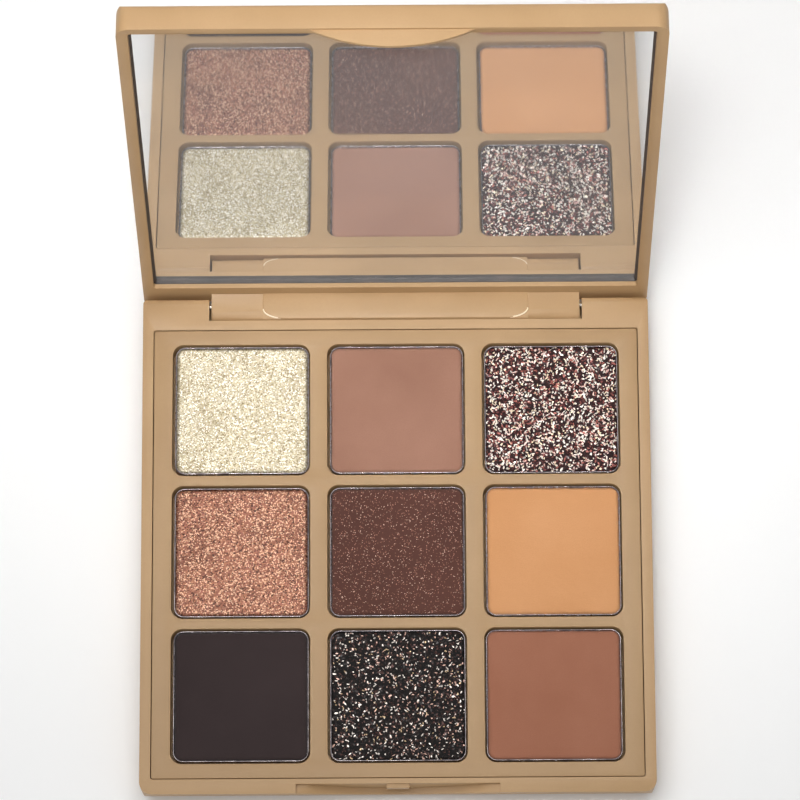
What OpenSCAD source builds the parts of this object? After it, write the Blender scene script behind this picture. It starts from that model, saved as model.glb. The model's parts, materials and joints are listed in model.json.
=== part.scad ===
// Nine-pan eyeshadow palette with a mirrored lid, shown fully open.
// Origin: middle of the underside. +X to the right, +Y to the hinge, +Z up.
// The lid pieces are drawn closed over the base, then turned back to the open stop.

/* [Case] */
// Width of the case, left to right
case_w = 98; // [96:0.5:110]
// Depth of the case, front to hinge side
case_d = 97.5; // [95:0.1:110]
// Height of the base, underside to parting plane
base_h = 8.6; // [8:0.1:12]
// Thickness of the lid, rim to outer face
lid_t = 5.5; // [4.2:0.1:7]
// Radius of the two front corners, seen from above
front_corner_r = 2.4; // [1:0.1:4]
// Radius of the two rear corners, seen from above
rear_corner_r = 0.8; // [0.4:0.1:1.5]
// How far the front and side walls lean in at the underside
wall_lean = 0.9; // [0:0.1:1.4]
// Radius of the bottom edge of the base
foot_r = 2.0; // [0.5:0.1:3]
// Radius of the outer edge of the lid
lid_edge_r = 1.4; // [0.5:0.1:2]
// Thickness of the base floor
floor_t = 1.2; // [0.8:0.1:1.6]

/* [Hinge] */
// Angle from closed to the open stop, in degrees
open_angle = 103; // [100:0.1:108]
// Distance of the hinge axis from the rear face
hinge_inset = 1.1; // [1:0.05:1.3]
// Distance of the hinge axis below the parting plane
hinge_drop = 1.87; // [1.8:0.01:2]
// Width of the hinge arm on the lid
arm_w = 71.5; // [50:0.5:76]
// How far the arm reaches forward of the axis
arm_reach = 2.97; // [2.8:0.01:3]
// Height of the flat top of the arm above the axis
arm_top = 1.3; // [1.1:0.05:1.4]
// Width of the flat tongue in the middle of the arm
tongue_w = 51.6; // [30:0.2:60]
// Radius of the steel hinge pins
pin_r = 0.5; // [0.4:0.05:0.6]

/* [Tray] */
// Width of the pan tray
tray_w = 93.5; // [90:0.1:94]
// Depth of the pan tray
tray_d = 88.1; // [84:0.1:89]
// Gap around the tray
tray_gap = 0.18; // [0.1:0.01:0.2]
// Width of the wall in front of the tray
front_wall = 2.85; // [2.6:0.05:3.2]

/* [Pans] */
// Distance between pan columns
pitch_x = 29.9; // [29:0.1:30.5]
// Distance between pan rows
pitch_y = 28.17; // [27.5:0.01:28.5]
// Width of a pan opening in the tray
opening_w = 26.6; // [25:0.1:27.5]
// Depth of a pan opening in the tray
opening_d = 26.2; // [25:0.1:26.5]
// Corner radius of a pan opening
opening_r = 2.2; // [1.5:0.1:3]
// Gap between a pan and its opening
pan_gap = 0.28; // [0.2:0.01:0.35]
// Thickness of the pan metal
pan_wall = 0.3; // [0.2:0.05:0.4]
// Height of a pan
pan_h = 3.0; // [2.5:0.1:3.2]

/* [Mirror] */
// Width of the lid rim around the mirror at the sides
rim_side = 2.1; // [1.8:0.1:3]
// Width of the lid rim at the front
rim_front = 1.6; // [1.5:0.1:3]
// Width of the lid rim at the hinge side
rim_rear = 5.3; // [5:0.1:6]
// How far the mirror sits below the rim
mirror_depth = 1.4; // [1.2:0.1:1.6]
// Thickness of the mirror glass
mirror_t = 1.2; // [1:0.1:1.4]
// Thickness of the adhesive sheet behind the mirror
tape_t = 0.2; // [0.1:0.05:0.3]

/* [Latch] */
// Width of the finger recess in the front wall
recess_w = 38.7; // [32:0.1:46]
// Depth of the finger recess from the front face
recess_d = 1.85; // [1.8:0.05:1.9]
// Width of the lid tab that drops into the recess
tab_w = 29.2; // [20:0.2:30]
// Height of the lid tab
tab_h = 3.5; // [2.5:0.1:3.8]
// Width of the catch in the recess
catch_w = 4.3; // [3:0.1:6]

/* [Hidden] */
$fn = 48;

case_tan = "#bd9a6c";
steel = "#c9c4c8";

parting_gap = 0.1;                      // lid rim over base rim when closed
rear_y = case_d / 2;
front_y = -case_d / 2;
axis_y = rear_y - hinge_inset;
axis_z = base_h - hinge_drop;
rim_z = base_h + parting_gap;
notch_w = arm_w + 0.9;                  // notch in the base around the arm
notch_front = 3.2;                      // notch wall, ahead of the axis
notch_below = 3.45;                     // notch floor, below the axis
sill_t = 0.6;                           // rear sill that stops the arm
sill_below = hinge_inset + 0.35;        // sill top, below the axis
pin_len = 9;
pin_in_base = 4;
pin_clear = 0.04;                       // running clearance in the arm
tray_cy = front_y + front_wall + tray_gap + tray_d / 2;
tray_top = base_h - 0.1;
tray_r = 0.35;                          // corner radius of the tray
pocket_z = tray_top - 3.9;              // floor of a pan pocket
pocket_floor_t = 0.8;
pocket_wall = 0.9;
tray_plate_t = 1.2;
glue_t = 0.2;
pan_z = pocket_z + glue_t;
powder_below_rim = 0.1;
mirror_gap = 0.1;
mirror_w = case_w - 2 * (rim_side + mirror_gap);
mirror_y0 = front_y + rim_front + mirror_gap;
mirror_y1 = rear_y - rim_rear - mirror_gap;
mirror_hole_depth = mirror_depth + mirror_t + tape_t;
tab_setback = 0.4;                      // step from the front face of the lid
tab_t = 0.6;                            // clears the catch behind it
big = 200;

// points along an arc, from angle a0 to a1
function arc(cx, cy, rx, ry, a0, a1, n = 10) =
  [for (i = [0:n]) let (a = a0 + (a1 - a0) * i / n) [cx + rx * cos(a), cy + ry * sin(a)]];

// place of the pan in column c and row r, counted from the middle
function pan_at(c, r) = [c * pitch_x, tray_cy + r * pitch_y, 0];

// flat rectangle centred on the origin with all corners round
module round_rect(w, d, r) {
  square([w - 2 * r, d], center = true);
  square([w, d - 2 * r], center = true);
  for (x = [-1, 1], y = [-1, 1]) translate([x * (w / 2 - r), y * (d / 2 - r)]) circle(r);
}

// outline of the case from above, with softer corners at the front
module case_outline() {
  f = front_corner_r;
  r = rear_corner_r;
  hw = case_w / 2;
  hd = case_d / 2;
  polygon(concat(
    arc(-hw + f, -hd + f, f, f, 180, 270),
    arc(hw - f, -hd + f, f, f, 270, 360),
    arc(hw - r, hd - r, r, r, 0, 90, 5),
    arc(-hw + r, hd - r, r, r, 90, 180, 5)));
}

// half of the base section: a wall that leans in and a round bottom edge
function base_edge(half) = concat(
  arc(half - wall_lean - foot_r, foot_r, foot_r, foot_r, 270, 360, 8),
  [[half, base_h]]);

function flipped(points) = [for (i = [len(points) - 1:-1:0]) [-points[i][0], points[i][1]]];

// solid outside shape of the base
module base_block() {
  intersection() {
    linear_extrude(base_h) case_outline();
    rotate([90, 0, 0]) linear_extrude(big, center = true)
      polygon(concat(base_edge(case_w / 2), flipped(base_edge(case_w / 2))));
    rotate([90, 0, 90]) linear_extrude(big, center = true)
      polygon(concat([[rear_y, 0], [rear_y, base_h]], flipped(base_edge(-front_y))));
  }
}

// cylinder along X, starting at x0
module rod_x(r, x0, len) {
  translate([x0, axis_y, axis_z]) rotate([0, 90, 0]) cylinder(r = r, h = len);
}

// round relief of the rear edge, so that the lid rim can swing past it
module rear_edge_relief() {
  difference() {
    translate([-big / 2, axis_y, axis_z]) cube([big, 10, 10]);
    rod_x(hinge_drop - 0.04, -big / 2, big);
  }
}

module hinge_notch() {
  translate([-notch_w / 2, axis_y - notch_front, axis_z - notch_below])
    cube([notch_w, notch_front + hinge_inset - sill_t, notch_below + 10]);
  translate([-notch_w / 2, axis_y - notch_front, axis_z - sill_below])
    cube([notch_w, notch_front + 10, sill_below + 10]);
}

// recess in the front wall: a shallow straight step with a bowed scoop below
module finger_recess() {
  step_h = 0.9;
  scoop_h = 4.6;
  scoop_r = (pow(recess_w / 2, 2) + pow(scoop_h, 2)) / (2 * scoop_h);
  translate([-recess_w / 2, front_y - 1, base_h - step_h])
    cube([recess_w, recess_d + 1, step_h + 1]);
  intersection() {
    translate([0, front_y + recess_d, base_h - scoop_h + scoop_r])
      rotate([90, 0, 0]) cylinder(r = scoop_r, h = recess_d + 1, $fn = 96);
    translate([-recess_w / 2, front_y - 1, base_h - scoop_h - 1])
      cube([recess_w, recess_d + 1, scoop_h + 1]);
  }
}

module latch_catch() {
  catch_reach = 0.78;
  catch_h = 1.5;
  translate([-catch_w / 2, front_y + recess_d - catch_reach, base_h - 0.4 - catch_h])
    cube([catch_w, catch_reach + 0.3, catch_h]);
}

module base_shell() {
  hole_w = tray_w + 2 * tray_gap;
  hole_d = tray_d + 2 * tray_gap;
  pin_x = notch_w / 2 - 0.01;
  color(case_tan) {
    difference() {
      base_block();
      translate([0, tray_cy, floor_t]) linear_extrude(base_h) round_rect(hole_w, hole_d, tray_r + tray_gap);
      hinge_notch();
      rear_edge_relief();
      finger_recess();
      rod_x(pin_r, pin_x, pin_in_base + 0.01);
      rod_x(pin_r, -pin_x - pin_in_base, pin_in_base + 0.01);
    }
    latch_catch();
  }
}

// the nine pocket places, each with its child drawn once
module each_pocket() {
  for (c = [-1:1], r = [-1:1]) translate(pan_at(c, r)) children();
}

module pan_tray() {
  skirt_t = 1.0;
  color(case_tan) difference() {
    union() {
      translate([0, tray_cy, tray_top - tray_plate_t])
        linear_extrude(tray_plate_t) round_rect(tray_w, tray_d, tray_r);
      translate([0, tray_cy, floor_t]) linear_extrude(tray_top - floor_t - 0.5) difference() {
        round_rect(tray_w, tray_d, tray_r);
        square([tray_w - 2 * skirt_t, tray_d - 2 * skirt_t], center = true);
      }
      each_pocket() translate([0, 0, pocket_z - pocket_floor_t])
        linear_extrude(tray_top - pocket_z + pocket_floor_t - 0.5)
          round_rect(opening_w + 2 * pocket_wall, opening_d + 2 * pocket_wall,
            opening_r + pocket_wall);
    }
    each_pocket() translate([0, 0, pocket_z])
      linear_extrude(10) round_rect(opening_w, opening_d, opening_r);
  }
}

// one pressed metal pan
module pan(c, r) {
  w = opening_w - 2 * pan_gap;
  d = opening_d - 2 * pan_gap;
  cr = opening_r - pan_gap;
  color(steel) translate(pan_at(c, r)) difference() {
    translate([0, 0, pan_z]) linear_extrude(pan_h) round_rect(w, d, cr);
    translate([0, 0, pan_z + pan_wall]) linear_extrude(pan_h)
      round_rect(w - 2 * pan_wall, d - 2 * pan_wall, cr - pan_wall);
  }
}

// one pressed powder cake, filling its pan
module powder(c, r, shade) {
  w = opening_w - 2 * pan_gap - 2 * pan_wall;
  d = opening_d - 2 * pan_gap - 2 * pan_wall;
  color(shade) translate(pan_at(c, r)) translate([0, 0, pan_z + pan_wall])
    linear_extrude(pan_h - pan_wall - powder_below_rim)
      round_rect(w, d, opening_r - pan_gap - pan_wall);
}

module pan_glue_pads() {
  color("#e8e2cf") each_pocket() translate([0, 0, pocket_z]) cylinder(r = 9, h = glue_t);
}

// turns a piece drawn closed over the base back to the open stop
module opened() {
  translate([0, axis_y, axis_z]) rotate([-open_angle, 0, 0]) translate([0, -axis_y, -axis_z])
    children();
}

// solid outside shape of the closed lid, with a round outer edge
module lid_block() {
  translate([0, 0, rim_z]) intersection() {
    linear_extrude(lid_t) case_outline();
    rotate([90, 0, 0]) linear_extrude(big, center = true) lid_section(case_w / 2, case_w / 2);
    rotate([90, 0, 90]) linear_extrude(big, center = true) lid_section(-front_y, rear_y);
  }
}

// section of the lid from -a to b, round at both upper corners
module lid_section(a, b) {
  e = lid_edge_r;
  polygon(concat([[-a, 0], [b, 0]],
    arc(b - e, lid_t - e, e, e, 0, 90, 8),
    arc(-a + e, lid_t - e, e, e, 90, 180, 8)));
}

// thin half-moon tab below the front rim of the lid, a little behind its front face
module lid_tab() {
  tab_r = (pow(tab_w / 2, 2) + pow(tab_h, 2)) / (2 * tab_h);
  root = 0.4;
  intersection() {
    translate([0, front_y + tab_setback + tab_t, rim_z - tab_h + tab_r])
      rotate([90, 0, 0]) cylinder(r = tab_r, h = tab_t, $fn = 96);
    translate([-tab_w / 2, front_y, rim_z - tab_h])
      cube([tab_w, 5, tab_h + root]);
  }
}

// section of the hinge arm in the open position, about the axis;
// its upper front corner is an oval, run deep and drop high
module arm_section(run, drop) {
  lean = open_angle - 90;
  barrel_r = hinge_inset - 0.02;
  root_y = (hinge_drop + parting_gap) / cos(lean) + 0.8;
  root_z = -(barrel_r + root_y * sin(lean)) / cos(lean);
  polygon(concat(
    [[root_y, root_z], [root_y + 0.3, arm_top]],
    arc(-arm_reach + run, arm_top - drop, run, drop, 90, 180, 10),
    [[-arm_reach, 0.44], [-1.4, 0.05]],
    arc(0, 0, barrel_r, barrel_r, 215, 270 - lean, 6)));
}

// the arm that joins the lid to the pins, drawn in the open position:
// a tongue with a crisp front edge between two ends with a round one
module hinge_arm() {
  end_run = 2.3;
  edge_drop = 0.84;
  tongue_edge = 0.3;
  end_w = (arm_w - tongue_w) / 2;
  translate([0, axis_y, axis_z]) rotate([90, 0, 90]) {
    linear_extrude(tongue_w, center = true) arm_section(tongue_edge, tongue_edge);
    for (side = [-1, 1]) translate([0, 0, side * (tongue_w + end_w) / 2])
      linear_extrude(end_w, center = true) arm_section(end_run, edge_drop);
  }
}

module lid_shell() {
  hole_y0 = mirror_y0 - mirror_gap;
  hole_y1 = mirror_y1 + mirror_gap;
  bore_in = pin_len - pin_in_base + 0.4;
  color(case_tan) difference() {
    union() {
      opened() {
        difference() {
          lid_block();
          translate([0, (hole_y0 + hole_y1) / 2, rim_z - 1])
            linear_extrude(mirror_hole_depth + 1)
              round_rect(case_w - 2 * rim_side, hole_y1 - hole_y0, 0.6);
        }
        lid_tab();
      }
      hinge_arm();
    }
    rod_x(pin_r + pin_clear, arm_w / 2 - bore_in, bore_in + 1);
    rod_x(pin_r + pin_clear, -arm_w / 2 - 1, bore_in + 1);
  }
}

// sheet the size of the mirror between two heights above the rim
module mirror_sheet(z0, t) {
  opened() translate([0, (mirror_y0 + mirror_y1) / 2, rim_z + z0])
    linear_extrude(t) round_rect(mirror_w, mirror_y1 - mirror_y0, 0.5);
}

module mirror_glass() {
  color("#cfd4d4") mirror_sheet(mirror_depth, mirror_t);
}

module mirror_tape() {
  color("white") mirror_sheet(mirror_depth + mirror_t, tape_t);
}

module hinge_pin(side) {
  x0 = side > 0 ? notch_w / 2 + pin_in_base - pin_len : -notch_w / 2 - pin_in_base;
  color(steel) rod_x(pin_r, x0, pin_len);
}

base_shell();
pan_tray();
pan(-1, 1);  // pan_rear_left
pan(0, 1);  // pan_rear_middle
pan(1, 1);  // pan_rear_right
pan(-1, 0);  // pan_middle_left
pan(0, 0);  // pan_centre
pan(1, 0);  // pan_middle_right
pan(-1, -1);  // pan_front_left
pan(0, -1);  // pan_front_middle
pan(1, -1);  // pan_front_right
powder(-1, 1, "#e6dabd");  // powder_champagne_shimmer
powder(0, 1, "#ab7c66");  // powder_rosy_taupe
powder(1, 1, "#8a6a66");  // powder_pink_glitter
powder(-1, 0, "#b07c62");  // powder_copper_shimmer
powder(0, 0, "#6a4338");  // powder_brown_sparkle
powder(1, 0, "#d69b6a");  // powder_peach
powder(-1, -1, "#413331");  // powder_near_black
powder(0, -1, "#2a2222");  // powder_black_glitter
powder(1, -1, "#a06952");  // powder_terracotta
pan_glue_pads();
lid_shell();
mirror_glass();
mirror_tape();
hinge_pin(-1);  // hinge_pin_left
hinge_pin(1);  // hinge_pin_right
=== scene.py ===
"""Nine-pan eyeshadow palette, lid open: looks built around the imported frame, in metres."""
import json
import math

import bmesh
import bpy
from mathutils import Matrix, Vector, noise


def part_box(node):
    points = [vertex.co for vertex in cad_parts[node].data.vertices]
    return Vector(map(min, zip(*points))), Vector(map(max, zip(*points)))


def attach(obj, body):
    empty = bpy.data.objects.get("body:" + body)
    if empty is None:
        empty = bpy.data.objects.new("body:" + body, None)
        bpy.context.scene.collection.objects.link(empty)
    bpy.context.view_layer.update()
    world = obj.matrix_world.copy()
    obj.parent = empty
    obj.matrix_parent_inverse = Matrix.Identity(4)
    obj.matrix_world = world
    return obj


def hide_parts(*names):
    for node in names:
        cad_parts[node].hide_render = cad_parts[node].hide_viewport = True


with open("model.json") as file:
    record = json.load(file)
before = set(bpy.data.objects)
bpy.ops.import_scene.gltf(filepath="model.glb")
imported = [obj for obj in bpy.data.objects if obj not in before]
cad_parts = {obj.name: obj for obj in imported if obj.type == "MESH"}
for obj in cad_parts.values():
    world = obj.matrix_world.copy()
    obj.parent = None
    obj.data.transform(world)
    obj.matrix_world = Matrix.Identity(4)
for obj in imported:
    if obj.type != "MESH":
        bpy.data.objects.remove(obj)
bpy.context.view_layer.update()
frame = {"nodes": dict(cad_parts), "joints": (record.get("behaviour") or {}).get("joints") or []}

MM = 0.001
nodes = frame["nodes"]
hinge = frame["joints"][0]
hinge_axis = Vector(hinge["pos_m"])
open_angle = math.radians(hinge["range_deg"][1])

# turns a shape drawn with the lid closed back to the open lid
OPENED = (
    Matrix.Translation(hinge_axis)
    @ Matrix.Rotation(-open_angle, 4, "X")
    @ Matrix.Translation(-hinge_axis)
)


# ---------------------------------------------------------------- camera, floor and light

def make_camera():
    """A long lens above the front edge of the case, tipped a little towards the hinge."""
    data = bpy.data.cameras.new("camera")
    data.sensor_width = 36
    data.lens = 208.8
    data.shift_x = -0.0134
    data.shift_y = 0.09
    data.clip_start = 0.01
    camera = bpy.data.objects.new("camera", data)
    place = Matrix.Translation((2.77 * MM, -208.2 * MM, 873.6 * MM))
    tip = Matrix.Rotation(math.radians(14.4), 4, "X")
    roll = Matrix.Rotation(math.radians(-0.34), 4, "Z")
    camera.matrix_world = place @ tip @ roll
    bpy.context.scene.collection.objects.link(camera)
    bpy.context.scene.camera = camera


def add_softbox(name, place, aim, size, power, spread=180):
    """A rectangular light; a narrow spread, in degrees, keeps it on what it is aimed at."""
    data = bpy.data.lights.new(name, "AREA")
    data.shape = "RECTANGLE"
    data.size, data.size_y = size
    data.energy = power
    data.spread = math.radians(spread)
    light = bpy.data.objects.new(name, data)
    light.location = place
    light.rotation_mode = "QUATERNION"
    light.rotation_quaternion = (Vector(aim) - Vector(place)).to_track_quat("-Z", "Y")
    bpy.context.scene.collection.objects.link(light)


def light_studio():
    """A white surround, one softbox above, one in front and a small light on the hinge."""
    world = bpy.data.worlds.new("studio")
    world.use_nodes = True
    backdrop = world.node_tree.nodes["Background"]
    backdrop.inputs["Color"].default_value = (1.0, 1.0, 1.0, 1)
    backdrop.inputs["Strength"].default_value = 0.36
    bpy.context.scene.world = world
    bpy.context.scene.view_settings.view_transform = "Standard"
    add_softbox("softbox_above", (-0.04, 0.055, 0.42), (0, 0.02, 0), (0.5, 0.3), 1.15)
    add_softbox("softbox_front", (-0.2, -0.9, 0.7), (0, 0, 0.03), (0.6, 0.4), 0.7)
    add_softbox("hinge_light", (-0.04, -0.04, 0.62), (0, 0.07, 0.02), (0.16, 0.06), 0.033, 24)


# ---------------------------------------------------------------- material writing

class Value:
    """A number that varies over a surface. Ordinary arithmetic on it adds Math nodes."""

    def __init__(self, recipe, socket):
        self.recipe = recipe
        self.socket = socket

    def _math(self, operation, first, second):
        return self.recipe.add("ShaderNodeMath", {"operation": operation}, {0: first, 1: second})

    def __add__(self, other):
        return self._math("ADD", self, other)

    def __radd__(self, other):
        return self._math("ADD", other, self)

    def __sub__(self, other):
        return self._math("SUBTRACT", self, other)

    def __rsub__(self, other):
        return self._math("SUBTRACT", other, self)

    def __mul__(self, other):
        return self._math("MULTIPLY", self, other)

    def __rmul__(self, other):
        return self._math("MULTIPLY", other, self)


class Recipe:
    """One material: its nodes, and the few mixes that the finishes here share."""

    def __init__(self, name, **shader):
        self.material = bpy.data.materials.new(name)
        self.material.use_nodes = True
        self.tree = self.material.node_tree
        self.shader = self.tree.nodes["Principled BSDF"]
        for socket, value in shader.items():
            self.set(socket.replace("_", " "), value)
        self.coords = self.add("ShaderNodeTexCoord", out="Object")

    def add(self, kind, settings=None, inputs=None, out=0):
        """One node: its settings first, then the values or links of its sockets."""
        node = self.tree.nodes.new(kind)
        for name, value in (settings or {}).items():
            if name == "stops":
                self._set_stops(node.color_ramp, value)
            else:
                setattr(node, name, value)
        for name, value in (inputs or {}).items():
            self._feed(node.inputs[name], value)
        return Value(self, node.outputs[out])

    def _set_stops(self, ramp, stops):
        """Gives a colour ramp one flat step for each (start, colour)."""
        ramp.interpolation = "CONSTANT"
        for start, _ in stops[2:]:
            ramp.elements.new(start)
        for element, (start, colour) in zip(ramp.elements, stops):
            element.position = start
            element.color = (*colour, 1)

    def _feed(self, socket, value):
        if isinstance(value, Value):
            self.tree.links.new(value.socket, socket)
        elif hasattr(value, "__len__") and socket.type == "RGBA":
            socket.default_value = (*value[:3], 1)
        else:
            socket.default_value = value

    def set(self, socket, value):
        """Gives the main shader a value or a link on one of its sockets."""
        self._feed(self.shader.inputs[socket], value)

    def noise(self, size, detail=2.0, roughness=0.5, stretch=(1, 1, 1)):
        """Soft noise whose lumps are about this size, in metres."""
        place = self.add("ShaderNodeMapping", None, {"Vector": self.coords, "Scale": stretch})
        inputs = {"Vector": place, "Scale": 1 / size, "Detail": detail, "Roughness": roughness}
        return self.add("ShaderNodeTexNoise", None, inputs)

    def grains(self, size):
        """Cells about this size, each with its own random colour."""
        inputs = {"Vector": self.coords, "Scale": 1 / size}
        return self.add("ShaderNodeTexVoronoi", None, inputs, out="Color")

    def part(self, colour, channel):
        """The red, green or blue part of a colour, as a number."""
        return self.add("ShaderNodeSeparateColor", None, {"Color": colour}, out=channel)

    def spread(self, value, low, high, to_low=0.0, to_high=1.0):
        """The value between low and high, spread over a new range and held inside it."""
        inputs = {"Value": value, "From Min": low, "From Max": high,
                  "To Min": to_low, "To Max": to_high}
        return self.add("ShaderNodeMapRange", {"clamp": True}, inputs)

    def mix(self, factor, first, second):
        """The first colour, going over to the second one as the factor rises to 1."""
        # sockets 6 and 7 of the Mix node are its two colours, and output 2 is the mixed one
        inputs = {0: factor, 6: first, 7: second}
        return self.add("ShaderNodeMix", {"data_type": "RGBA"}, inputs, out=2)

    def bump(self, height, depth, strength):
        """Dents and bumps of this depth, in metres, where the height varies from 0 to 1."""
        inputs = {"Height": height, "Distance": depth, "Strength": strength}
        return self.add("ShaderNodeBump", None, inputs)


def srgb(code):
    """A screen colour written as six hex digits, as the linear colour a shader needs."""
    levels = [int(code[i:i + 2], 16) / 255 for i in (0, 2, 4)]
    return tuple(v / 12.92 if v <= 0.04045 else ((v + 0.055) / 1.055) ** 2.4 for v in levels)


# ---------------------------------------------------------------- the finishes

def satin_plastic(name, tone, pale, speck):
    """Tan moulded plastic, with a painted highlight, paler and smoother, on the faces marked for
    one.
    """
    m = Recipe(name, Specular_IOR_Level=0.35)
    highlight_mark = m.add("ShaderNodeAttribute", {"attribute_name": "rubbed_bright"}, out="Fac")
    broad = m.noise(18 * MM, detail=3)
    speckle = m.noise(0.35 * MM, detail=2)
    tan = m.mix(m.spread(broad, 0.35, 0.65), srgb(tone), srgb(pale))
    tan = m.mix(m.spread(speckle, 0.3, 0.7, 0.0, 0.16), tan, srgb(speck))
    # marked faces get a painted highlight: a near-white colour and a little less roughness
    m.set("Base Color", m.mix(highlight_mark * 0.9, tan, srgb("fff0d4")))
    m.set("Roughness", m.spread(broad + speckle * 0.5, 0.5, 1.0, 0.36, 0.46) - highlight_mark * 0.15)
    m.set("Normal", m.bump(m.noise(0.22 * MM, detail=3), 0.012 * MM, 0.5))
    return m.material


def pan_steel():
    """Thin tinned steel with darker rubbed places."""
    m = Recipe("pan_steel", Metallic=1.0)
    wear = m.noise(1.6 * MM, detail=4)
    m.set("Base Color", m.mix(m.spread(wear, 0.35, 0.7), srgb("b9b2b4"), srgb("6a6266")))
    m.set("Roughness", m.spread(wear, 0.3, 0.7, 0.18, 0.36))
    m.set("Normal", m.bump(m.noise(0.5 * MM, detail=3), 0.02 * MM, 0.4))
    return m.material


def matte_powder(name, colour, light, dark):
    """Dense matte powder: soft clouds of tone, a fine grain and small dark pits."""
    m = Recipe(name, Roughness=0.92, Specular_IOR_Level=0.25, Sheen_Weight=0.15,
               Sheen_Roughness=0.6)
    clouds = m.noise(16 * MM, detail=4)
    grain = m.noise(0.16 * MM, detail=4, roughness=0.7)
    shade = m.mix(m.spread(clouds, 0.3, 0.74), srgb(colour), srgb(light))
    shade = m.mix(m.spread(grain, 0.42, 0.7, 0.0, 0.45), shade, srgb(dark))
    m.set("Base Color", shade)
    dents = m.noise(1.1 * MM, detail=5, roughness=0.65)
    m.set("Normal", m.bump(grain * 0.5 + dents, 0.05 * MM, 0.6))
    return m.material


def shimmer_powder(name, base, light, dark, gleam, tinge):
    """Pearly powder: grains that each catch the light at their own angle."""
    grain = 0.2 * MM
    m = Recipe(name, Specular_IOR_Level=0.5)
    cells = m.grains(grain)
    chance = m.part(cells, "Red")
    tone = m.part(cells, "Green")
    lift = m.part(cells, "Blue")
    clouds = m.noise(7 * MM, detail=4)
    shade = m.mix(m.spread(tone, 0.1, 0.9), srgb(base), srgb(light))
    shade = m.mix(m.spread(lift, 0.5, 0.9, 0.0, 0.6), shade, srgb(tinge))
    shade = m.mix(m.spread(chance, 0.12, 0.3, 1.0, 0.0), shade, srgb(dark))
    shade = m.mix(m.spread(clouds, 0.42, 0.7, 0.0, 0.35), shade, srgb(dark))
    flashes = m.spread(chance, 0.78, 0.86)
    m.set("Base Color", m.mix(flashes, shade, srgb(gleam)))
    m.set("Metallic", m.spread(tone, 0.0, 1.0, 0.25, 0.75))
    m.set("Roughness", m.spread(tone, 0.0, 1.0, 0.34, 0.62))
    height = lift * 0.6 + m.noise(grain * 1.7, detail=3)
    m.set("Normal", m.bump(height, 0.09 * MM, 0.8))
    return m.material


def glitter_bed(name, base, dark, light):
    """The dark pressed powder that carries loose glitter."""
    m = Recipe(name, Roughness=0.8, Specular_IOR_Level=0.35)
    cells = m.grains(0.3 * MM)
    chance = m.part(cells, "Red")
    grit = m.noise(0.5 * MM, detail=4, roughness=0.7)
    shade = m.mix(m.spread(grit, 0.35, 0.65), srgb(dark), srgb(base))
    shade = m.mix(m.spread(chance, 0.86, 0.93), shade, srgb(light))
    m.set("Base Color", shade)
    m.set("Normal", m.bump(m.part(cells, "Blue") * 0.6 + grit, 0.12 * MM, 0.9))
    return m.material


def glitter_flakes(name, shares):
    """Cut foil flakes in a few colours, each share of them given as (start, colour)."""
    m = Recipe(name, Specular_IOR_Level=0.6)
    tint = m.add("ShaderNodeAttribute", {"attribute_name": "flake_tint"}, out="Fac")
    stops = [(start, srgb(colour)) for start, colour in shares]
    foil = m.add("ShaderNodeValToRGB", {"stops": stops}, {"Fac": tint}, out="Color")
    scuff = m.noise(0.2 * MM, detail=2)
    m.set("Base Color", m.mix(m.spread(scuff, 0.5, 0.8, 0.0, 0.2), foil, srgb("5a4038")))
    m.set("Metallic", m.spread(scuff, 0.3, 0.7, 0.15, 0.4))
    m.set("Roughness", m.spread(scuff, 0.3, 0.7, 0.25, 0.4))
    return m.material


def mirror_silver():
    """Silvered glass with a faint haze."""
    m = Recipe("mirror_silver", Metallic=0.86, Specular_IOR_Level=0.5)
    haze = m.noise(22 * MM, detail=3)
    m.set("Base Color", m.mix(m.spread(haze, 0.35, 0.65), srgb("f0f3f6"), srgb("f7f8f8")))
    m.set("Roughness", m.spread(haze, 0.3, 0.7, 0.015, 0.04))
    return m.material


def mirror_sealant():
    """Dark grey painted shade for the bead round the mirror's edge, streaked along its run."""
    m = Recipe("mirror_sealant", Specular_IOR_Level=0.4)
    streak = m.noise(0.9 * MM, detail=3, stretch=(0.15, 1, 1))
    m.set("Base Color", m.mix(m.spread(streak, 0.35, 0.68), srgb("3a3533"), srgb("58504c")))
    m.set("Roughness", m.spread(streak, 0.3, 0.7, 0.35, 0.55))
    return m.material


def pin_steel():
    """Bright drawn wire with fine lines along it."""
    m = Recipe("pin_steel", Metallic=1.0)
    lines = m.noise(0.12 * MM, detail=2, stretch=(0.05, 1, 1))
    m.set("Base Color", m.mix(lines, srgb("77716a"), srgb("98928a")))
    m.set("Roughness", m.spread(lines, 0.3, 0.7, 0.2, 0.35))
    return m.material


def white_tape():
    """Fibrous white adhesive sheet."""
    m = Recipe("white_tape")
    fibres = m.noise(0.3 * MM, detail=4, stretch=(0.3, 1, 1))
    m.set("Base Color", m.mix(fibres, srgb("d8d5cd"), srgb("f2f0ea")))
    m.set("Roughness", m.spread(fibres, 0.3, 0.7, 0.7, 0.9))
    return m.material


def set_glue():
    """Glue that has set to a pale amber."""
    m = Recipe("set_glue")
    blobs = m.noise(1.5 * MM, detail=3)
    m.set("Base Color", m.mix(blobs, srgb("d9cfae"), srgb("efe8d2")))
    m.set("Roughness", m.spread(blobs, 0.3, 0.7, 0.25, 0.45))
    m.set("Normal", m.bump(blobs, 0.05 * MM, 0.6))
    return m.material


def studio_floor():
    """White paper."""
    m = Recipe("studio_floor")
    m.set("Base Color", m.mix(m.noise(0.3, detail=2), srgb("fbfbfa"), srgb("ffffff")))
    m.set("Roughness", m.spread(m.noise(0.05), 0.3, 0.7, 0.85, 0.95))
    return m.material


# ---------------------------------------------------------------- mesh helpers

def new_piece(name, bm, material):
    mesh = bpy.data.meshes.new(name)
    bm.to_mesh(mesh)
    bm.free()
    mesh.materials.append(material)
    piece = bpy.data.objects.new(name, mesh)
    bpy.context.scene.collection.objects.link(piece)
    return piece


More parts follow.
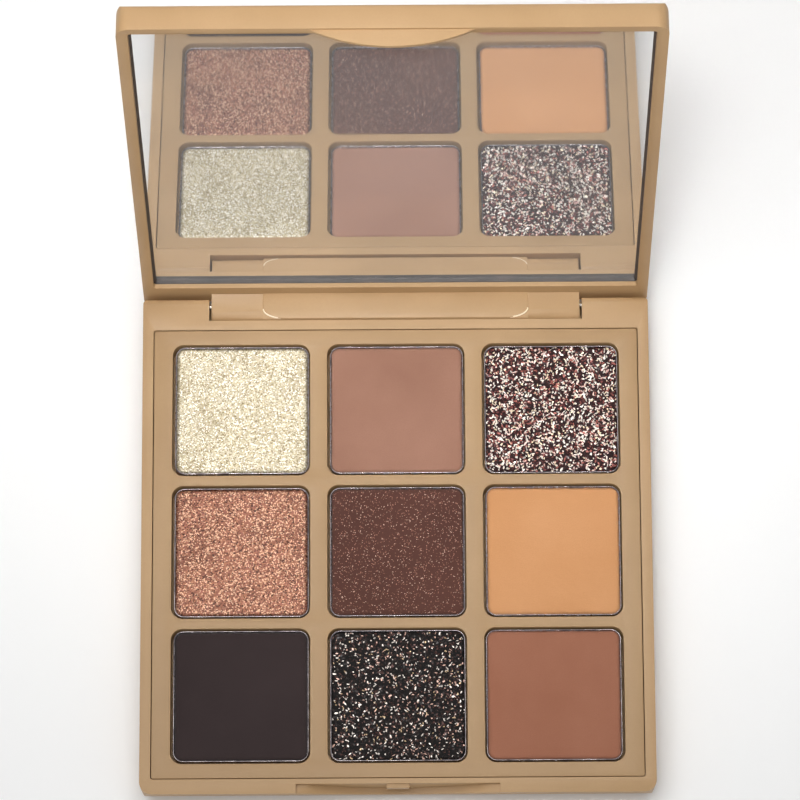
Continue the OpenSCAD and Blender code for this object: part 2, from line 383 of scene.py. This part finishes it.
def settle(piece):
    """Turns a piece and its modifiers into one plain mesh."""
    graph = bpy.context.evaluated_depsgraph_get()
    mesh = bpy.data.meshes.new_from_object(piece.evaluated_get(graph))
    piece.modifiers.clear()
    piece.data = mesh


def shade_smooth(piece, crease):
    """Smooth shading that breaks at edges sharper than crease, in degrees."""
    mesh = piece.data
    mesh.polygons.foreach_set("use_smooth", [True] * len(mesh.polygons))
    mesh.set_sharp_from_angle(angle=math.radians(crease))


def soften_edges(piece, width):
    """Rounds every sharp edge, as a mould does."""
    sharper_than = 32
    mesh = piece.data
    mesh.polygons.foreach_set("use_smooth", [True] * len(mesh.polygons))
    bevel = piece.modifiers.new("edges", "BEVEL")
    bevel.width = width
    bevel.segments = 3
    bevel.limit_method = "ANGLE"
    bevel.angle_limit = math.radians(sharper_than)
    bevel.use_clamp_overlap = True
    bevel.harden_normals = True
    settle(piece)


def place_piece(piece, body, slot, *replaced):
    """Sets the body that a piece rides and hides the CAD nodes that it stands for; slot is not used.
    """
    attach(piece, body)
    if replaced:
        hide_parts(*replaced)


def round_rect(width, depth, radius, z, centre):
    """Points of a rectangle with round corners, anticlockwise from above."""
    steps = 7
    points = []
    for corner, (sx, sy) in enumerate(((1, 1), (-1, 1), (-1, -1), (1, -1))):
        for i in range(steps + 1):
            angle = math.radians(90 * (corner + i / steps))
            x = centre[0] + sx * (width / 2 - radius) + radius * math.cos(angle)
            y = centre[1] + sy * (depth / 2 - radius) + radius * math.sin(angle)
            points.append(Vector((x, y, z)))
    return points


def loft(bm, rings, closed=False):
    """Joins rings of as many points each into a skin: capped at both ends, or closed on itself."""
    rows = [[bm.verts.new(point) for point in ring] for ring in rings]
    pairs = list(zip(rows, rows[1:]))
    if closed:
        pairs.append((rows[-1], rows[0]))
    for lower, upper in pairs:
        for i in range(len(lower)):
            j = (i + 1) % len(lower)
            bm.faces.new((lower[i], lower[j], upper[j], upper[i]))
    if not closed:
        bm.faces.new(list(reversed(rows[0])))
        bm.faces.new(rows[-1])


def closed_box(node):
    """The corners of a lid node as they lie with the lid closed."""
    back = OPENED.inverted()
    points = [back @ v.co for v in nodes[node].data.vertices]
    lowest = Vector([min(p[i] for p in points) for i in range(3)])
    highest = Vector([max(p[i] for p in points) for i in range(3)])
    return lowest, highest


# ---------------------------------------------------------------- case

def moulded_copy(node, name, edge, material):
    """A CAD shell with whole flat faces and finely rounded edges."""
    bm = bmesh.new()
    bm.from_mesh(nodes[node].data)
    bmesh.ops.remove_doubles(bm, verts=bm.verts, dist=1e-6)
    bmesh.ops.dissolve_limit(bm, angle_limit=math.radians(0.5), verts=bm.verts, edges=bm.edges)
    piece = new_piece(name, bm, material)
    soften_edges(piece, edge)
    return piece


def hinge_tongue(material):
    """The flat middle of the hinge arm, with oval front corners, a hair above the arm."""
    width = 51.6 * MM
    corner_w, corner_d = 4.1 * MM, 2.0 * MM
    front, rear = -2.80 * MM, 2.6 * MM
    arm_top = 1.3 * MM
    rise = 0.2 * MM
    steps = 10
    outline = [(width / 2, rear), (-width / 2, rear)]
    for side, first_turn in ((-1, 180), (1, 270)):
        for i in range(steps + 1):
            turn = math.radians(first_turn + 90 * i / steps)
            outline.append((side * (width / 2 - corner_w) + corner_w * math.cos(turn),
                            front + corner_d * (1 + math.sin(turn))))

    def ring(inset, height):
        """The outline drawn in on all sides, at a height above the hinge axis."""
        shrink_x = 1 - inset / (width / 2)
        middle = (front + rear) / 2
        shrink_y = 1 - inset / ((rear - front) / 2)
        return [hinge_axis + Vector((x * shrink_x, middle + (y - middle) * shrink_y, height))
                for x, y in outline]

    top = arm_top + rise
    foot = arm_top - 0.25 * MM
    # inset and drop of the rounded top edge, in millimetres
    rounding = [(0.0, 0.18), (0.05, 0.06), (0.22, 0.0)]
    bm = bmesh.new()
    loft(bm, [ring(0, foot)] + [ring(inset * MM, top - drop * MM) for inset, drop in rounding])
    piece = new_piece("hinge_tongue", bm, material)
    shade_smooth(piece, 50)

    # only the sloping faces of the two oval corners get the painted highlight
    slope, least_upward = 0.04, 0.2
    marks = piece.data.attributes.new("rubbed_bright", "FLOAT", "FACE")
    for face, mark in zip(piece.data.polygons, marks.data):
        at_corner = abs(face.normal.x) > slope and face.normal.y < -slope
        mark.value = float(at_corner and face.normal.z > least_upward)
    place_piece(piece, "lid", "case_plastic")


def make_case():
    """The base, its tray and the lid, each a finely rounded copy of its CAD shell."""
    plastic = satin_plastic("case_plastic", "b18f66", "b8966d", "a88560")
    tray_plastic = satin_plastic("tray_plastic", "a8875f", "af8e66", "a07e5a")
    base = moulded_copy("base_shell", "case_base", 0.16 * MM, plastic)
    place_piece(base, "base", "case_plastic", "base_shell")
    tray = moulded_copy("pan_tray", "nine_pan_tray", 0.2 * MM, tray_plastic)
    place_piece(tray, "base", "case_plastic", "pan_tray")
    lid = moulded_copy("lid_shell", "mirror_lid", 0.14 * MM, plastic)
    place_piece(lid, "lid", "case_plastic", "lid_shell")
    hinge_tongue(plastic)


# ---------------------------------------------------------------- mirror

def mirror_face(low):
    """The height of the mirror's face, with the lid closed, from its lowest corner."""
    set_back = 0.42 * MM
    return low.z + set_back


def silvered_mirror(silver):
    """The mirror as one silvered sheet with a fine chamfer round its face."""
    low, high = closed_box("mirror_glass")
    width, depth = high.x - low.x, high.y - low.y
    centre = (0, (low.y + high.y) / 2)
    face = mirror_face(low)
    chamfer = 0.3 * MM
    corner = 0.5 * MM
    bm = bmesh.new()
    loft(bm, [round_rect(width - 2 * chamfer, depth - 2 * chamfer, 0.8 * corner, face, centre),
              round_rect(width, depth, corner, face + chamfer, centre),
              round_rect(width, depth, corner, high.z, centre)])
    bmesh.ops.transform(bm, matrix=OPENED, verts=bm.verts)
    glass = new_piece("silvered_mirror", bm, silver)
    shade_smooth(glass, 20)
    place_piece(glass, "lid", "mirror", "mirror_glass")


def mirror_bead(shade_finish):
    """A dark bead around the glass, painted shade for the gap round the mirror, which climbs the
    pocket wall at the hinge side.
    """
    low, high = closed_box("mirror_glass")
    pocket_gap = 0.095 * MM
    hole_w, hole_d = high.x - low.x + 2 * pocket_gap, high.y - low.y + 2 * pocket_gap
    centre = (0, (low.y + high.y) / 2)
    face = mirror_face(low)
    foot = face + 0.35 * MM
    corner = 0.6 * MM
    # the tall strip at the hinge side paints the shade of the pocket wall there
    bead_width, height_at_hinge, height_elsewhere = 0.5 * MM, 0.85 * MM, 0.12 * MM
    hinge_strip = 1 * MM
    # how far in from the pocket wall, and how high, as shares of the bead's width and height
    crown = [(1, 0.15), (0.55, 0.45), (0.25, 0.85), (0.1, 1), (0, 1)]

    def bead_ring(share_in):
        """A ring at the bead's foot, set in from the pocket wall."""
        inset = share_in * bead_width
        return round_rect(hole_w - 2 * inset, hole_d - 2 * inset, corner - inset * 0.6, foot, centre)

    def raised_ring(share_in, share_up):
        """The same ring on the bead's crown, which stands tallest at the hinge side."""
        ring = bead_ring(share_in)
        strip_edge = max(p.y for p in ring) - hinge_strip
        for p in ring:
            height = height_at_hinge if p.y > strip_edge else height_elsewhere
            p.z = face - share_up * height
        return ring

    bm = bmesh.new()
    loft(bm, [bead_ring(0), bead_ring(1)] + [raised_ring(*shares) for shares in crown],
         closed=True)
    bmesh.ops.transform(bm, matrix=OPENED, verts=bm.verts)
    bmesh.ops.recalc_face_normals(bm, faces=bm.faces)
    bead = new_piece("mirror_bead", bm, shade_finish)
    shade_smooth(bead, 60)
    place_piece(bead, "lid", "tape")


# ---------------------------------------------------------------- pans and powders

def make_pan(place, shift, steel):
    """One pressed pan with a rolled rim, set a little off the middle of its pocket."""
    low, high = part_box("pan_" + place)
    gap = 0.1 * MM
    width, depth = high.x - low.x - 2 * gap, high.y - low.y - 2 * gap
    centre = ((low.x + high.x) / 2 + shift[0], (low.y + high.y) / 2 + shift[1])
    corner = 1.92 * MM
    # the section, in millimetres: distance in from the outer wall, and height above the pan's
    # underside, or below the CAD pan's rim for the rolled rim
    heel = [(0.40, 0.0), (0.16, 0.05), (0.04, 0.18), (0.0, 0.4)]
    rolled_rim = [(0.0, -0.3), (0.02, -0.17), (0.06, -0.09), (0.13, -0.06), (0.19, -0.09),
                  (0.24, -0.17), (0.26, -0.34)]
    inside = [(0.34, 0.7), (0.5, 0.38), (0.9, 0.3)]
    rings = []
    for start, stretch in ((low.z, heel), (high.z, rolled_rim), (low.z, inside)):
        for across, up in stretch:
            inset = across * MM
            rings.append(round_rect(width - 2 * inset, depth - 2 * inset, corner - inset * 0.9,
                                    start + up * MM, centre))
    bm = bmesh.new()
    loft(bm, rings)
    piece = new_piece("rolled_pan_" + place, bm, steel)
    shade_smooth(piece, 60)
    place_piece(piece, "base", "pan_metal", "pan_" + place)


def press_powder(shade_name, shift, material, slot, unevenness, seed):
    """One pressed cake: a gently uneven top that falls away at the pan wall."""
    low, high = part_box("powder_" + shade_name)
    wall_gap = 0.13 * MM
    half_w = (high.x - low.x) / 2 - wall_gap
    half_d = (high.y - low.y) / 2 - wall_gap
    centre = Vector(((low.x + high.x) / 2 + shift[0], (low.y + high.y) / 2 + shift[1], 0))
    corner = 1.5 * MM
    cells = 72
    edge_fall, edge_width = 0.3 * MM, 0.5 * MM
    waves, grit, crumbs = 170, 1300, 700  # of each, in a metre
    own_slice = seed * 0.05

    def rounded(x, y):
        """Draws the corners of a square grid in to a round-cornered outline."""
        over_x, over_y = abs(x) - (half_w - corner), abs(y) - (half_d - corner)
        if over_x <= 0 or over_y <= 0:
            return x, y
        pull = max(over_x, over_y) / math.hypot(over_x, over_y)
        return (math.copysign(half_w - corner + over_x * pull, x),
                math.copysign(half_d - corner + over_y * pull, y))

    def from_edge(x, y):
        """The distance from a point to the cake's outline."""
        over_x, over_y = abs(x) - (half_w - corner), abs(y) - (half_d - corner)
        if over_x > 0 and over_y > 0:
            return corner - math.hypot(over_x, over_y)
        return min(half_w - abs(x), half_d - abs(y))

    def top(x, y):
        """The height of the cake's top, with its waves, its grit and its crumbled edge."""
        at = Vector((x, y, own_slice))
        wave = noise.fractal(at * waves, 0.8, 2.2, 3) * unevenness
        rough = noise.fractal(at * grit, 0.9, 2.0, 2) * unevenness * 0.25
        crumble = 1 + 0.7 * noise.noise(at * crumbs)
        inward = max(0.0, 1 - from_edge(x, y) / (edge_width * crumble))
        return high.z - unevenness + wave + rough - edge_fall * inward * inward

    bm = bmesh.new()
    grid = []
    for j in range(cells + 1):
        row = []
        for i in range(cells + 1):
            x, y = rounded(half_w * (2 * i / cells - 1), half_d * (2 * j / cells - 1))
            row.append(bm.verts.new((centre.x + x, centre.y + y, top(x, y))))
        grid.append(row)
    for j in range(cells):
        for i in range(cells):
            bm.faces.new((grid[j][i], grid[j][i + 1], grid[j + 1][i + 1], grid[j + 1][i]))
    rim = (grid[0][:-1] + [row[-1] for row in grid[:-1]]
           + grid[-1][:0:-1] + [row[0] for row in grid[:0:-1]])
    foot = [bm.verts.new((v.co.x, v.co.y, low.z + 0.05 * MM)) for v in rim]
    for i in range(len(rim)):
        j = (i + 1) % len(rim)
        bm.faces.new((foot[i], foot[j], rim[j], rim[i]))
    bm.faces.new(list(reversed(foot)))
    cake = new_piece("pressed_" + shade_name, bm, material)
    shade_smooth(cake, 60)
    place_piece(cake, "base", slot, "powder_" + shade_name)
    return cake


def scatter_tree(material):
    """Geometry nodes that lay flakes on the upward faces of a cake."""
    least_upward = 0.85
    turn_seed, size_seed, tint_seed = 11, 23, 37
    smallest, largest = (0.55, 0.3, 1), (1.7, 0.85, 1)
    tree = bpy.data.node_groups.new("scattered_flakes", "GeometryNodeTree")
    tree.interface.new_socket("Geometry", in_out="INPUT", socket_type="NodeSocketGeometry")
    for name in ("Flakes per square metre", "Flake radius", "Flake thickness", "Tilt", "Seed"):
        kind = "NodeSocketInt" if name == "Seed" else "NodeSocketFloat"
        tree.interface.new_socket(name, in_out="INPUT", socket_type=kind)
    tree.interface.new_socket("Geometry", in_out="OUTPUT", socket_type="NodeSocketGeometry")

    def add(kind, settings=None, inputs=None):
        node = tree.nodes.new(kind)
        for name, value in (settings or {}).items():
            setattr(node, name, value)
        for name, value in (inputs or {}).items():
            if isinstance(value, bpy.types.NodeSocket):
                tree.links.new(value, node.inputs[name])
            else:
                node.inputs[name].default_value = value
        return node

    given = add("NodeGroupInput").outputs
    normal = add("ShaderNodeSeparateXYZ", None, {0: add("GeometryNodeInputNormal").outputs[0]})
    upward = add("FunctionNodeCompare", {"operation": "GREATER_THAN"},
                 {0: normal.outputs["Z"], 1: least_upward})
    points = add("GeometryNodeDistributePointsOnFaces", None,
                 {"Mesh": given["Geometry"], "Selection": upward.outputs[0],
                  "Density": given["Flakes per square metre"], "Seed": given["Seed"]})
    flake = add("GeometryNodeMeshCylinder", None,
                {"Vertices": 5, "Radius": given["Flake radius"],
                 "Depth": given["Flake thickness"]})
    lean = add("ShaderNodeCombineXYZ", None, {"X": given["Tilt"], "Y": given["Tilt"],
                                              "Z": math.pi})
    lean_back = add("ShaderNodeVectorMath", {"operation": "SCALE"},
                    {0: lean.outputs[0], "Scale": -1.0})
    turn = add("FunctionNodeRandomValue", {"data_type": "FLOAT_VECTOR"},
               {0: lean_back.outputs[0], 1: lean.outputs[0], "Seed": turn_seed})
    size = add("FunctionNodeRandomValue", {"data_type": "FLOAT_VECTOR"},
               {0: smallest, 1: largest, "Seed": size_seed})
    lying = add("GeometryNodeInstanceOnPoints", None,
                {"Points": points.outputs["Points"], "Instance": flake.outputs["Mesh"],
                 "Rotation": turn.outputs[0], "Scale": size.outputs[0]})
    tint = add("FunctionNodeRandomValue", {"data_type": "FLOAT"}, {"Seed": tint_seed})
    tinted = add("GeometryNodeStoreNamedAttribute", {"data_type": "FLOAT", "domain": "INSTANCE"},
                 {"Geometry": lying.outputs["Instances"], "Name": "flake_tint",
                  "Value": tint.outputs[1]})
    real = add("GeometryNodeRealizeInstances", None, {"Geometry": tinted.outputs[0]})
    coated = add("GeometryNodeSetMaterial", None,
                 {"Geometry": real.outputs[0], "Material": material})
    add("NodeGroupOutput", None, {"Geometry": coated.outputs[0]})
    return tree


def scatter_flakes(cake, shade_name, slot, material, **sizes):
    """Glitter lying on a cake, as one plain mesh."""
    piece = bpy.data.objects.new("flakes_" + shade_name, cake.data.copy())
    bpy.context.scene.collection.objects.link(piece)
    tree = scatter_tree(material)
    scatter = piece.modifiers.new("scatter", "NODES")
    scatter.node_group = tree
    for socket in tree.interface.items_tree:
        key = socket.name.lower().replace(" ", "_")
        if socket.in_out == "INPUT" and key in sizes:
            scatter[socket.identifier] = sizes[key]
    settle(piece)
    place_piece(piece, "base", slot)


def make_pans_and_powders():
    """Nine pans and their powders, and the glitter that lies on three of them."""
    steel = pan_steel()
    looks = {
        "rosy_taupe": matte_powder("rosy_taupe", "966c59", "a87d69", "7e5545"),
        "peach": matte_powder("peach", "cb915f", "d69d6d", "b27a4c"),
        "near_black": matte_powder("near_black", "322626", "3c2f2f", "1c1515"),
        "terracotta": matte_powder("terracotta", "98624a", "a56f57", "7f4c38"),
        "brown_sparkle": matte_powder("brown_sparkle", "54332a", "5f3b31", "3b211b"),
        "champagne_shimmer": shimmer_powder("champagne_shimmer", "c2b495", "d6ccb4", "8e7c5a",
                                            "fffaee", "ecdcb0"),
        "copper_shimmer": shimmer_powder("copper_shimmer", "8c5643", "b27a5e", "4c2a1e",
                                         "ecbf9e", "a05f58"),
        "pink_glitter": glitter_bed("pink_glitter", "3a1b1c", "120808", "8a4c44"),
        "black_glitter": glitter_bed("black_glitter", "140e0d", "060404", "34241f"),
    }
    # place in the tray, shade, offset in its pocket and unevenness of the cake, in millimetres
    fillings = [
        ("rear_left", "champagne_shimmer", (0.16, 0.1), 0.03),
        ("rear_middle", "rosy_taupe", (0.13, 0.08), 0.012),
        ("rear_right", "pink_glitter", (0.1, 0.02), 0.05),
        ("middle_left", "copper_shimmer", (0.13, 0.05), 0.035),
        ("centre", "brown_sparkle", (0.12, 0.08), 0.018),
        ("middle_right", "peach", (0.13, 0.06), 0.012),
        ("front_left", "near_black", (0.1, 0.12), 0.015),
        ("front_middle", "black_glitter", (0.1, 0.1), 0.05),
        ("front_right", "terracotta", (-0.08, 0.08), 0.012),
    ]
    cakes = {}
    for seed, (place, shade_name, shift, unevenness) in enumerate(fillings):
        shift = (shift[0] * MM, shift[1] * MM)
        slot = shade_name.replace("_shimmer", "").replace("_sparkle", "") + "_powder"
        make_pan(place, shift, steel)
        cakes[shade_name] = press_powder(shade_name, shift, looks[shade_name], slot,
                                         unevenness * MM, seed)
    pink = glitter_flakes("pink_foil", [(0.0, "fff6ea"), (0.36, "f8d4c8"), (0.47, "ffeccc"),
                                        (0.58, "b4685c"), (0.7, "6a2e2e"), (0.84, "2a1212")])
    scatter_flakes(cakes["pink_glitter"], "pink_glitter", "pink_glitter_powder", pink,
                   flakes_per_square_metre=4.8e6, flake_radius=0.33 * MM,
                   flake_thickness=0.03 * MM, tilt=0.5, seed=3)
    dark = glitter_flakes("dark_foil", [(0.0, "fff4ea"), (0.19, "ecc0ae"), (0.29, "e6c69c"),
                                        (0.34, "54302a"), (0.6, "221817")])
    scatter_flakes(cakes["black_glitter"], "black_glitter", "black_glitter_powder", dark,
                   flakes_per_square_metre=4.4e6, flake_radius=0.25 * MM,
                   flake_thickness=0.03 * MM, tilt=0.45, seed=5)
    fine = glitter_flakes("fine_foil", [(0.0, "f2cdb8"), (0.25, "c98f7a"), (0.6, "9a6452")])
    scatter_flakes(cakes["brown_sparkle"], "brown_sparkle", "brown_powder", fine,
                   flakes_per_square_metre=3.4e6, flake_radius=0.11 * MM,
                   flake_thickness=0.02 * MM, tilt=0.4, seed=7)


# ---------------------------------------------------------------- kept CAD pieces

def coat_node(node, material):
    """Gives a CAD piece that stays as it is its finish."""
    mesh = nodes[node].data
    mesh.materials.clear()
    mesh.materials.append(material)


def coat_hidden_pieces():
    steel = pin_steel()
    coat_node("hinge_pin_left", steel)
    coat_node("hinge_pin_right", steel)
    coat_node("mirror_tape", white_tape())
    coat_node("pan_glue_pads", set_glue())


def lay_floor():
    bm = bmesh.new()
    bmesh.ops.create_grid(bm, x_segments=4, y_segments=4, size=3.0)
    floor = new_piece("studio_floor", bm, studio_floor())


make_camera()
light_studio()
lay_floor()
make_case()
silvered_mirror(mirror_silver())
mirror_bead(mirror_sealant())
make_pans_and_powders()
coat_hidden_pieces()
